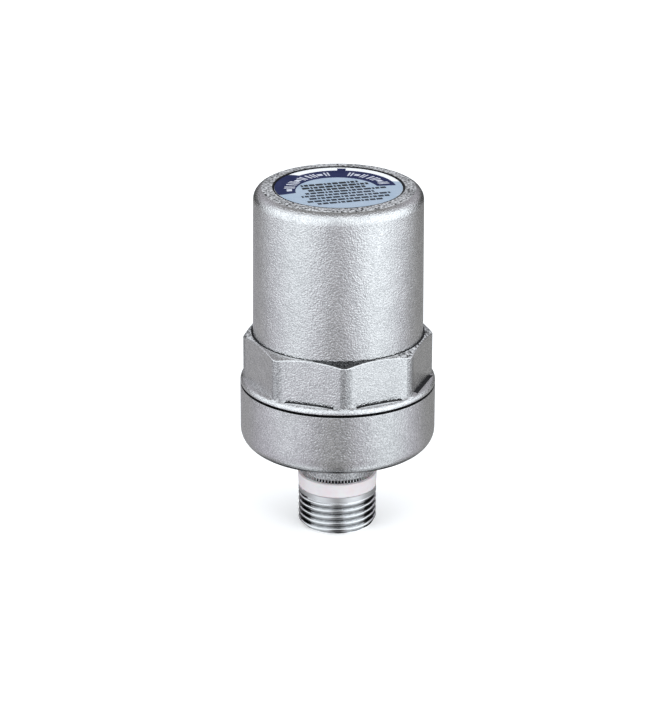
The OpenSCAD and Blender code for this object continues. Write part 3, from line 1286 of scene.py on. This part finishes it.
    def _inside(self, extent: Extent, rim: float, flange_top: float, seal_z: float) -> list[Corner]:
        """Gives the profile from the flange round the skirt and up the bore to the roof.

        Args:
            extent: Where the bell lies.
            rim: The height of the cup's rim.
            flange_top: The height of the flange's upper face.
            seal_z: The height of the cover's sealing ring.

        Returns:
            The corners from the flange's wall to the boss on the axis.
        """
        r = extent.radius
        roof = extent.top - self.roof_t
        step = rim - self.joint_len
        skirt = self.spigot_d / 2
        groove = self.groove_d / 2
        half = self.groove_h / 2
        bore = self.bore_d / 2
        return [
            Corner(r, flange_top - self.flange_edge_r - SLACK),
            Corner(r, rim, SHARP_R),
            Corner(self.joint_d / 2, rim, TOOL_R),
            Corner(self.joint_d / 2, step, self.step_r),
            Corner(skirt, step, TOOL_R),
            Corner(skirt, seal_z + half, TOOL_R),
            Corner(groove, seal_z + half, TOOL_R),
            Corner(groove, seal_z - half, TOOL_R),
            Corner(skirt, seal_z - half, TOOL_R),
            Corner(skirt, extent.bottom, self.skirt_r),
            Corner(bore, extent.bottom, self.skirt_r),
            Corner(bore, roof, self.roof_r),
            Corner(self.boss_d / 2, roof, self.boss_r),
            Corner(self.boss_d / 2, roof - self.boss_h, self.boss_r),
            Corner(0.0, roof - self.boss_h),
        ]


@dataclass
class ThreadSeal:
    """The white seal ring between the thread and the collar."""

    bottom_d: float = 20.9
    bore_gap: float = 0.05
    neck_d: float = 18.0
    collar_d: float = 20.0
    teeth: int = 72
    burr_h: float = 0.15
    burr_gap: float = 0.06
    burr_w: float = 0.1
    burr_slope: float = 0.9
    burr_root: float = 0.02
    edge_r: float = 0.35

    def build(self, palette: Palette) -> bpy.types.Object:
        """Makes the ring, with the polymer that the serrations have pushed up around them.

        Args:
            palette: The finishes.

        Returns:
            The piece.
        """
        extent = Extent.of(Part.THREAD_SEAL)
        lathe = Lathe.even(POINTS_PER_TOOTH * self.teeth)
        inner = self.neck_d / 2 + self.bore_gap
        top, low = extent.radius, self.bottom_d / 2
        outer = Profile.points(
            [
                Corner(inner, extent.bottom),
                Corner(low, extent.bottom, self.edge_r),
                Corner(top, extent.top, self.edge_r),
                Corner(self.collar_d / 2 + 2 * self.burr_gap, extent.top),
            ]
        )
        index = np.arange(len(lathe.angles)) % POINTS_PER_TOOTH
        raised = np.where(index < 2, 0.0, self.burr_h)
        lip = self.collar_d / 2 + self.burr_gap
        rings = [
            *lathe.rings(outer),
            lathe.ring(lip, extent.top + raised),
            lathe.ring(lip - self.burr_w, extent.top + self.burr_slope * raised),
            lathe.ring(lip - self.burr_w - self.burr_root, extent.top - self.burr_root),
            lathe.ring(inner, extent.top - self.burr_root),
        ]
        piece = lathe.mesh("thread_seal", rings, True, palette.pick(Look.SEAL))
        return seat(piece, Body.HOUSING, Slot.SEAL, Part.THREAD_SEAL)


class Mark(Enum):
    """The marks on the label's arc, as strokes: left, right, low and high shares of the mark's box."""

    BAR = ((0.1, 0.5, 0.0, 1.0),)
    PAIR = ((0.0, 0.3, 0.0, 1.0), (0.6, 0.9, 0.0, 1.0))
    DASH = ((0.0, 1.0, 0.25, 0.75),)


@dataclass
class Label:
    """The round printed label in the roof: a pale field, a dark arc with marks, and rows of bars."""

    turn_deg: float = 16.0
    field_centre: tuple[float, float] = (0.3, -0.7)
    field_r: float = 14.9
    arc_centre: tuple[float, float] = (-0.2, -2.75)
    arc_inner: float = 11.05
    arc_start_deg: float = 8.0
    arc_end_deg: float = 203.0
    wide_from_deg: float = 137.0
    wide_to_deg: float = 142.0
    open_deg: float = 12.0
    edge_gap: float = 0.05
    tick_deg: Span = (83.0, 91.5)
    tick_h: float = 1.7
    tick_lap: float = 0.05
    ink_t: float = 0.02
    ink_dip: float = 0.01
    film_r: Span = (0.03, 0.08)
    film_steps: int = 144
    field_step_deg: int = 3
    arc_steps: int = 131
    mark_runs_deg: tuple[tuple[float, float, int], ...] = ((103.0, 197.0, 10), (15.0, 80.0, 7))
    mark_h: float = 2.8
    mark_share: float = 0.77
    first_row: float = 3.5
    row_pitch: float = 2.15
    row_starts: tuple[float, ...] = (-9.3, -9.5, -8.4, -9.8, -11.4, -9.9, -11.6, -9.0)
    row_ends: tuple[float, ...] = (6.2, 8.4, 7.0, 12.5, 8.8, 13.0, 12.2, 8.5)
    row_margin: float = 0.9
    bold_rows: int = 3
    bold_h: float = 1.5
    small_h: float = 1.3
    bar_least: float = 0.6
    bar_step: float = 0.45
    bar_gap: float = 0.3
    bar_end: float = 0.5
    bar_kinds: int = 4
    bar_stride: tuple[int, int] = (5, 3)

    def build(self, palette: Palette) -> list[bpy.types.Object]:
        """Makes the film and its print.

        Args:
            palette: The finishes.

        Returns:
            The pieces.
        """
        extent = Extent.of(Part.LABEL)
        lathe = Lathe.even(self.film_steps)
        film = Profile.points(
            [
                Corner(0.0, extent.bottom),
                Corner(extent.radius, extent.bottom, self.film_r[0]),
                Corner(extent.radius, extent.top, self.film_r[1]),
                Corner(0.0, extent.top),
            ]
        )
        edge = extent.radius - self.edge_gap
        bold = self._rows(range(self.bold_rows), self.bold_h)
        small = self._rows(range(self.bold_rows, len(self.row_ends)), self.small_h)
        prints = (
            ("label_field", [self._field(edge)], 1, Look.FIELD_INK),
            ("label_arc", self._arc(edge), 2, Look.BAND_INK),
            ("label_marks", self._marks(), 3, Look.MARK_INK),
            ("label_bold_rows", bold, 2, Look.BOLD_INK),
            ("label_small_rows", small, 2, Look.ROW_INK),
        )
        base = lathe.mesh("label_film", lathe.rings(film), False, palette.pick(Look.FILM))
        pieces = [seat(base, Body.HOUSING, Slot.LABEL, Part.LABEL)]
        for name, cells, layer, look in prints:
            printed = self._inked(name, cells, extent.top, layer, palette.pick(look))
            pieces.append(seat(printed, Body.HOUSING, Slot.LABEL))
        return pieces

    @staticmethod
    def _off_centre(angles: np.ndarray, centre: tuple[float, float], radius: float) -> np.ndarray:
        """Gives how far an off-centre circle lies from the label's middle at each angle.

        Args:
            angles: Angles about the label's middle in radians.
            centre: The circle's centre.
            radius: The circle's radius.

        Returns:
            The distance from the label's middle to the circle at each angle.
        """
        along = centre[0] * np.cos(angles) + centre[1] * np.sin(angles)
        across = centre[1] * np.cos(angles) - centre[0] * np.sin(angles)
        return along + np.sqrt(radius**2 - across**2)

    def _field(self, edge: float) -> Cell:
        """Gives the pale field as one cell, which widens to the label's edge at the front and right.

        Args:
            edge: The radius of the print's outer limit.

        Returns:
            The cell's points, faces and rim edges.
        """
        turns = np.arange(0, 360, self.field_step_deg)
        angles = np.radians(turns)
        r = self._off_centre(angles, self.field_centre, self.field_r)
        r = np.where((turns > self.arc_end_deg) | (turns < self.arc_start_deg + self.open_deg), edge, r)
        count = len(angles)
        points = np.stack([r * np.cos(angles), r * np.sin(angles)], axis=1)
        return points, [tuple(range(count))], [(k, (k + 1) % count) for k in range(count)]

    def _arc(self, edge: float) -> list[Cell]:
        """Gives the dark band, which widens to the label's edge on the left, and a tick behind it.

        Args:
            edge: The radius of the print's outer limit.

        Returns:
            The cells of the band and the tick.
        """
        angles = np.radians(np.linspace(self.arc_start_deg, self.arc_end_deg, self.arc_steps))
        inner = self._off_centre(angles, self.arc_centre, self.arc_inner)
        outer = self._off_centre(angles, self.field_centre, self.field_r)
        widening = (np.degrees(angles) - self.wide_from_deg) / (self.wide_to_deg - self.wide_from_deg)
        outer += (edge - outer) * np.clip(widening, 0.0, 1.0)
        ticks = np.radians(np.linspace(*self.tick_deg, 3))
        tick_low = self._off_centre(ticks, self.field_centre, self.field_r) - self.tick_lap
        return [self._sector(angles, inner, outer), self._sector(ticks, tick_low, tick_low + self.tick_h)]

    def _marks(self) -> list[Cell]:
        """Gives the runs of pale marks on the band.

        Returns:
            The cells of the marks' strokes.
        """
        cells = []
        kinds = (Mark.PAIR, Mark.DASH, Mark.PAIR, Mark.BAR)
        for first, last, count in self.mark_runs_deg:
            pitch = (last - first) / count
            width = pitch * self.mark_share
            for k in range(count):
                for left, right, low, high in kinds[k % len(kinds)].value:
                    angles = np.radians(first + pitch * k + width * np.linspace(left, right, 3))
                    inner = self._off_centre(angles, self.arc_centre, self.arc_inner)
                    outer = self._off_centre(angles, self.field_centre, self.field_r)
                    base = (inner + outer - self.mark_h) / 2
                    cells.append(self._sector(angles, base + low * self.mark_h, base + high * self.mark_h))
        return cells

    def _rows(self, rows: Sequence[int], height: float) -> list[Cell]:
        """Gives the bars of some of the rows on the field.

        Args:
            rows: The numbers of the rows, counted from the band down.
            height: The height of a bar.

        Returns:
            The cells of the bars.
        """
        cells = []
        turn = math.radians(self.turn_deg)
        spin = np.array([[math.cos(turn), -math.sin(turn)], [math.sin(turn), math.cos(turn)]])
        for row in rows:
            v = self.first_row - row * self.row_pitch
            reach = math.sqrt((self.field_r - self.row_margin) ** 2 - (v - self.field_centre[1]) ** 2)
            u = max(self.row_starts[row], -reach)
            last = min(self.row_ends[row], reach)
            step = 0
            while u < last - self.bar_end:
                kind = (step * self.bar_stride[0] + row * self.bar_stride[1]) % self.bar_kinds
                end = min(u + self.bar_least + self.bar_step * kind, last)
                low, high = v - height / 2, v + height / 2
                corners = np.array([[u, low], [end, low], [end, high], [u, high]])
                cells.append((corners @ spin.T, [(0, 1, 2, 3)], [(0, 1), (1, 2), (2, 3), (3, 0)]))
                u = end + self.bar_gap
                step += 1
        return cells

    @staticmethod
    def _sector(angles: np.ndarray, inner: np.ndarray, outer: np.ndarray) -> Cell:
        """Gives a flat sector's points, faces and rim edges.

        Args:
            angles: Its rising angles in radians.
            inner: The radius of its inner edge at each angle.
            outer: The radius of its outer edge at each angle.

        Returns:
            Points, faces seen from above, and edges in the faces' order.
        """
        n = len(angles)
        arcs = [np.stack([r * np.cos(angles), r * np.sin(angles)], axis=1) for r in (inner, outer)]
        points = np.concatenate(arcs)
        faces = [(k, n + k, n + k + 1, k + 1) for k in range(n - 1)]
        rim = [(0, n)]
        rim += [(n + k, n + k + 1) for k in range(n - 1)]
        rim += [(2 * n - 1, n - 1)]
        rim += [(k + 1, k) for k in reversed(range(n - 1))]
        return points, faces, rim

    def _inked(
        self, name: str, cells: Sequence[Cell], base: float, layer: int, inks: Sequence[bpy.types.Material]
    ) -> bpy.types.Object:
        """Makes closed thin prints from flat cells.

        Args:
            name: The piece's name.
            cells: Points, faces and rim edges of each cell.
            base: The height that the print lies on.
            layer: How many layers of ink lie at the top of the print.
            inks: The print's finish.

        Returns:
            The piece.
        """
        low = base - self.ink_dip
        high = base + self.ink_t * layer
        points: list[np.ndarray] = []
        faces: list[tuple[int, ...]] = []
        for flat, tops, rim in cells:
            n, first = len(flat), sum(len(p) for p in points)
            points.append(np.column_stack([flat, np.full(n, low)]))
            points.append(np.column_stack([flat, np.full(n, high)]))
            faces += [tuple(first + n + i for i in face) for face in tops]
            faces += [tuple(first + i for i in reversed(face)) for face in tops]
            faces += [(first + a, first + b, first + n + b, first + n + a) for a, b in rim]
        return make_piece(name, np.concatenate(points), faces, inks)


@dataclass
class Spring:
    """The compression spring between the piston and the roof."""

    wire_d: float = 3.0
    coils: int = 8
    steps: int = 48
    sides: int = 16
    closing: float = 0.2
    flat_turn: float = 0.75
    travel: float = 24.0

    def build(self, palette: Palette) -> bpy.types.Object:
        """Makes the spring, seated on the housing.

        Args:
            palette: The finishes.

        Returns:
            The piece.
        """
        extent = Extent.of(Part.SPRING)
        length = extent.top - extent.bottom
        coil_r = extent.radius - self.wire_d / 2
        turns = np.linspace(0, self.coils, self.coils * self.steps + 1)
        around = np.arange(self.sides) * 2 * math.pi / self.sides
        heights = np.array([self._rise(t, length) for t in turns])
        r = coil_r + self.wire_d / 2 * np.cos(around)[None, :] + np.zeros((len(turns), 1))
        z = np.clip(heights[:, None] + self.wire_d / 2 * np.sin(around)[None, :], 0, length) + extent.bottom
        at = (turns * 2 * math.pi)[:, None]
        points = np.stack([r * np.cos(at), r * np.sin(at), z], axis=2).reshape(-1, 3)
        faces: list[tuple[int, ...]] = [tuple(range(self.sides))]
        for i in range(len(turns) - 1):
            for k in range(self.sides):
                n = (k + 1) % self.sides
                a, b = i * self.sides, (i + 1) * self.sides
                faces.append((a + k, b + k, b + n, a + n))
        last = (len(turns) - 1) * self.sides
        faces.append(tuple(last + k for k in reversed(range(self.sides))))
        piece = make_piece("coil_spring", points, faces, palette.pick(Look.WIRE))
        seat(piece, Body.HOUSING, Slot.SPRING, Part.SPRING)
        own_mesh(piece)
        return piece

    def _end(self, t: float) -> float:
        """Follows the wire along a closed end.

        Args:
            t: The turns from the wire's end, up to 1.

        Returns:
            The height of the wire's centre above its seat.
        """
        half = self.wire_d / 2
        if t < self.flat_turn:
            return half * t / self.flat_turn
        return half + (half + self.closing) * (t - self.flat_turn) / (1 - self.flat_turn)

    def _rise(self, t: float, length: float) -> float:
        """Follows the wire from end to end.

        Args:
            t: The turns from the wire's lower end.
            length: The spring's length.

        Returns:
            The height of the wire's centre above the lower seat.
        """
        if t <= 1:
            return self._end(t)
        if t >= self.coils - 1:
            return length - self._end(self.coils - t)
        open_len = length - 2 * self._end(1)
        return self._end(1) + open_len * (t - 1) / (self.coils - 2)


@dataclass
class InnerParts:
    """The piston and the rubber rings, which keep their CAD solids."""

    nodes: dict[str, bpy.types.Object]

    def dress(self, palette: Palette) -> None:
        """Gives the CAD solids their finishes.

        Args:
            palette: The finishes.
        """
        rings = (Part.LOWER_RING, Part.UPPER_RING, Part.COVER_RING)
        for part, look in ((Part.PISTON, Look.POLYMER), *((ring, Look.RUBBER) for ring in rings)):
            materials = self.nodes[part.value].data.materials
            materials.clear()
            materials.append(*palette.pick(look))
            LOG.info("%s: dressed in %s", part.value, look.value.name)


@dataclass(frozen=True)
class SoftWall:
    """A band of light at an azimuth from the camera; a negative level takes light away."""

    azimuth_deg: float
    spread_deg: float
    level: float
    edge: float = 2.0


@dataclass(frozen=True)
class LightBand:
    """The light around the object at one height: a base level and the soft walls in it."""

    base: float
    walls: tuple[SoftWall, ...]

    def level(self, graph: Graph, azimuth: bpy.types.NodeSocket) -> bpy.types.NodeSocket:
        """Adds the nodes that give the band's light.

        Args:
            graph: The node tree to add them to.
            azimuth: The azimuth from the camera, in radians.

        Returns:
            The light from that azimuth.
        """
        light: Any = self.base
        for wall in self.walls:
            away = graph.math("SUBTRACT", azimuth, math.radians(wall.azimuth_deg))
            scaled = graph.math("ABSOLUTE", graph.math("DIVIDE", away, math.radians(wall.spread_deg)))
            drop = graph.math("MULTIPLY", graph.math("POWER", scaled, wall.edge), -0.5)
            fall = graph.math("EXPONENT", drop)
            light = graph.math("ADD", light, graph.math("MULTIPLY", fall, wall.level))
        return light


@dataclass
class Studio:
    """The pale floor, the soft light and the camera at the photograph's viewpoint."""

    image_w: int = 668
    image_h: int = 707
    focal_px: float = 3194.7
    target_px: tuple[float, float] = (337.9, 354.6)
    target_z: float = 48.0
    distance: float = 850.0
    elevation_deg: float = 21.44
    roll_deg: float = 0.26
    sensor: float = 36.0
    near_floor: LightBand = LightBand(0.04, (SoftWall(-38, 23, 0.92, 5), SoftWall(40, 23, 1.1, 5)))
    far_floor: LightBand = LightBand(
        0.245,
        (
            SoftWall(-54, 27, 0.67),
            SoftWall(53, 24.5, 0.9),
            SoftWall(-5, 11, -0.055),
            SoftWall(-165, 40, 0.18),
            SoftWall(165, 40, 0.09),
        ),
    )
    horizon: LightBand = LightBand(
        0.06, (SoftWall(-66, 46, 1.15, 6), SoftWall(66, 44, 1.3, 6), SoftWall(0, 25, 0.5, 4))
    )
    walls: LightBand = LightBand(
        0.5, (SoftWall(-66, 46, 0.8, 6), SoftWall(66, 44, 0.95, 6), SoftWall(0, 25, 0.2, 4))
    )
    side_span: Span = (0.04, 0.3)
    ceiling_span: Span = (0.55, 0.72)
    zenith_span: Span = (0.88, 0.98)
    overhead_level: float = 1.2
    overhead_deg: Span = (70.0, 120.0)
    back_level: float = 0.25
    floor_half: float = 3000.0
    floor_tone: float = 0.8
    floor_lift: float = 0.35
    near_reach: float = 37.0
    near_edge: float = 6.0
    front_shade: float = 0.745
    front_deg: Span = (65.0, 105.0)
    front_reach: Span = (0.1, 0.22)
    horizon_reach: Span = (0.25, 0.5)
    haze_tint: Color = rgb(0.93, 0.912, 1.0)
    haze_span: Span = (0.35, 0.45)
    wall_tint: Color = rgb(0.909, 0.958, 1.0)
    wall_span: Span = (0.63, 0.75)
    lamps: tuple[tuple[str, float, float], ...] = (("left_softbox", -50, 3.75), ("right_softbox", 50, 4.5))
    lamp_size: float = 0.7
    lamp_distance: float = 1.1
    lamp_elevation_deg: float = 17.0

    def build(self) -> None:
        """Makes the camera, the light and the floor."""
        self._camera()
        self._world()
        self._floor()
        self._softboxes()
        bpy.context.scene.view_settings.view_transform = "Standard"

    def _camera(self) -> None:
        """Places the camera where the photograph was taken from."""
        data = bpy.data.cameras.new("photo_camera")
        data.sensor_width = self.sensor
        long_side = max(self.image_w, self.image_h)
        data.lens = self.focal_px * self.sensor / long_side
        data.shift_x = (self.image_w / 2 - self.target_px[0]) / long_side
        data.shift_y = (self.target_px[1] - self.image_h / 2) / long_side
        camera = bpy.data.objects.new("photo_camera", data)
        tilt = math.radians(self.elevation_deg)
        back = Vector((0, -math.cos(tilt), math.sin(tilt)))
        roll = Quaternion((0, 0, 1), math.radians(self.roll_deg))
        camera.location = (Vector((0, 0, self.target_z)) + back * self.distance) * MM
        camera.rotation_euler = ((-back).to_track_quat("-Z", "Y") @ roll).to_euler()
        bpy.context.scene.collection.objects.link(camera)
        bpy.context.scene.camera = camera

    @staticmethod
    def _radians(span: Span) -> Span:
        """Gives a span of degrees in radians."""
        return math.radians(span[0]), math.radians(span[1])

    @staticmethod
    def _azimuth(graph: Graph, direction: bpy.types.NodeSocket) -> tuple[Any, Any]:
        """Gives a direction's azimuth from the camera, in radians, and its height."""
        parts = graph.add("SeparateXYZ", {"Vector": direction}).outputs
        return graph.math("ARCTAN2", parts["X"], graph.math("MULTIPLY", parts["Y"], -1.0)), parts["Z"]

    @staticmethod
    def _seen(graph: Graph) -> tuple[Any, Any]:
        """Tells rays apart.

        Args:
            graph: The node tree of the floor or the world.

        Returns:
            1 for rays that show the backdrop itself, and 1 for rays that metal reflects.
        """
        path = graph.add("LightPath").outputs
        direct = graph.math("MAXIMUM", path["Is Camera Ray"], path["Is Transmission Ray"])
        return direct, path["Is Glossy Ray"]

    def _tinted(self, graph: Graph, level: bpy.types.NodeSocket) -> bpy.types.NodeSocket:
        """Gives the light's colour: neutral where it is dim, then lilac, then blue where it is bright."""
        dim = graph.blend(graph.remap(level, self.haze_span, 0.0, 1.0), WHITE, self.haze_tint)
        return graph.blend(graph.remap(level, self.wall_span, 0.0, 1.0), dim, self.wall_tint)

    def _world(self) -> None:
        """Surrounds the scene with soft walls and a bright ceiling, and shows the camera white."""
        world = bpy.data.worlds.new("studio")
        bpy.context.scene.world = world
        world.use_nodes = True
        graph = Graph(world.node_tree)
        azimuth, up = self._azimuth(graph, graph.add("TexCoord").outputs["Generated"])
        low, high = self.horizon.level(graph, azimuth), self.walls.level(graph, azimuth)
        side = graph.remap(up, self.side_span, low, high)
        turned = graph.math("ABSOLUTE", azimuth)
        slope = graph.remap(turned, self._radians(self.overhead_deg), self.overhead_level, self.back_level)
        mirrored = graph.remap(up, self.zenith_span, slope, self.back_level)
        seen, glossy = self._seen(graph)
        ceiling = graph.remap(glossy, (0.0, 1.0), self.overhead_level, mirrored)
        level = graph.remap(up, self.ceiling_span, side, ceiling)
        studio = graph.add("Background", {"Color": self._tinted(graph, level), "Strength": level})
        white = graph.add("Background", {"Color": WHITE, "Strength": 1.0})
        mixed = graph.add("MixShader", {0: seen, 1: studio.outputs[0], 2: white.outputs[0]})
        graph.add("OutputWorld", {"Surface": mixed.outputs[0]})

    def _floor(self) -> None:
        """Lays the pale floor, which metal sees shaded close to the object; it is clear from below."""
        half = self.floor_half
        corners = np.array([[-half, -half, 0.0], [half, -half, 0.0], [half, half, 0.0], [-half, half, 0.0]])
        material = bpy.data.materials.new("floor_paper")
        material.use_nodes = True
        graph = Graph(material.node_tree)
        place = graph.add("TexCoord").outputs["Object"]
        azimuth, _ = self._azimuth(graph, place)
        reach = graph.add("VectorMath", {0: place}, operation="LENGTH").outputs["Value"]
        share = graph.math("POWER", graph.math("DIVIDE", reach, self.near_reach * MM), self.near_edge)
        near = graph.math("EXPONENT", graph.math("MULTIPLY", share, -1.0))
        turned = graph.math("ABSOLUTE", azimuth)
        front = graph.remap(turned, self._radians(self.front_deg), self.front_shade, 1.0)
        shade = graph.remap(reach, self.front_reach, front, 1.0)
        floor_light = graph.math("MULTIPLY", self.far_floor.level(graph, azimuth), shade)
        far_light = graph.remap(reach, self.horizon_reach, floor_light, self.horizon.level(graph, azimuth))
        far_part = graph.math("MULTIPLY", far_light, graph.math("SUBTRACT", 1.0, near))
        near_part = graph.math("MULTIPLY", self.near_floor.level(graph, azimuth), near)
        level = graph.math("ADD", far_part, near_part)
        mirrored = graph.add("Emission", {"Color": self._tinted(graph, level), "Strength": level})
        seen, glossy = self._seen(graph)
        lift_level = graph.math("MULTIPLY", seen, self.floor_lift)
        lift = graph.add("Emission", {"Color": WHITE, "Strength": lift_level})
        paper = graph.add("BsdfDiffuse", {"Color": rgb(*[self.floor_tone] * 3)})
        lit = graph.add("AddShader", {0: paper.outputs[0], 1: lift.outputs[0]})
        mixed = graph.add("MixShader", {0: glossy, 1: lit.outputs[0], 2: mirrored.outputs[0]})
        below = graph.add("NewGeometry").outputs["Backfacing"]
        clear = graph.add("BsdfTransparent")
        shown = graph.add("MixShader", {0: below, 1: mixed.outputs[0], 2: clear.outputs[0]})
        graph.add("OutputMaterial", {"Surface": shown.outputs[0]})
        make_piece("floor", corners, [(0, 1, 2, 3)], [material])

    def _softboxes(self) -> None:
        """Hangs a soft light on each side of the camera."""
        aim = Vector((0, 0, self.target_z * MM))
        for name, azimuth, watts in self.lamps:
            data = bpy.data.lights.new(name, "AREA")
            data.shape = "SQUARE"
            data.size = self.lamp_size
            data.energy = watts
            lamp = bpy.data.objects.new(name, data)
            lamp.visible_glossy = False
            a, e = math.radians(azimuth), math.radians(self.lamp_elevation_deg)
            away = Vector((math.sin(a) * math.cos(e), -math.cos(a) * math.cos(e), math.sin(e)))
            lamp.location = aim + away * self.lamp_distance
            lamp.rotation_euler = (-away).to_track_quat("-Z", "Y").to_euler()
            bpy.context.scene.collection.objects.link(lamp)


def main() -> None:
    """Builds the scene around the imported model."""
    logging.basicConfig(level=logging.INFO, format="%(name)s %(message)s")
    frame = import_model()
    palette = Palette(SurfaceEffects())
    for part in (Cup(), Bell(), ThreadSeal(), Label(), Spring()):
        part.build(palette)
    InnerParts(frame["nodes"]).dress(palette)
    Studio().build()


if __name__ == "__main__":
    main()
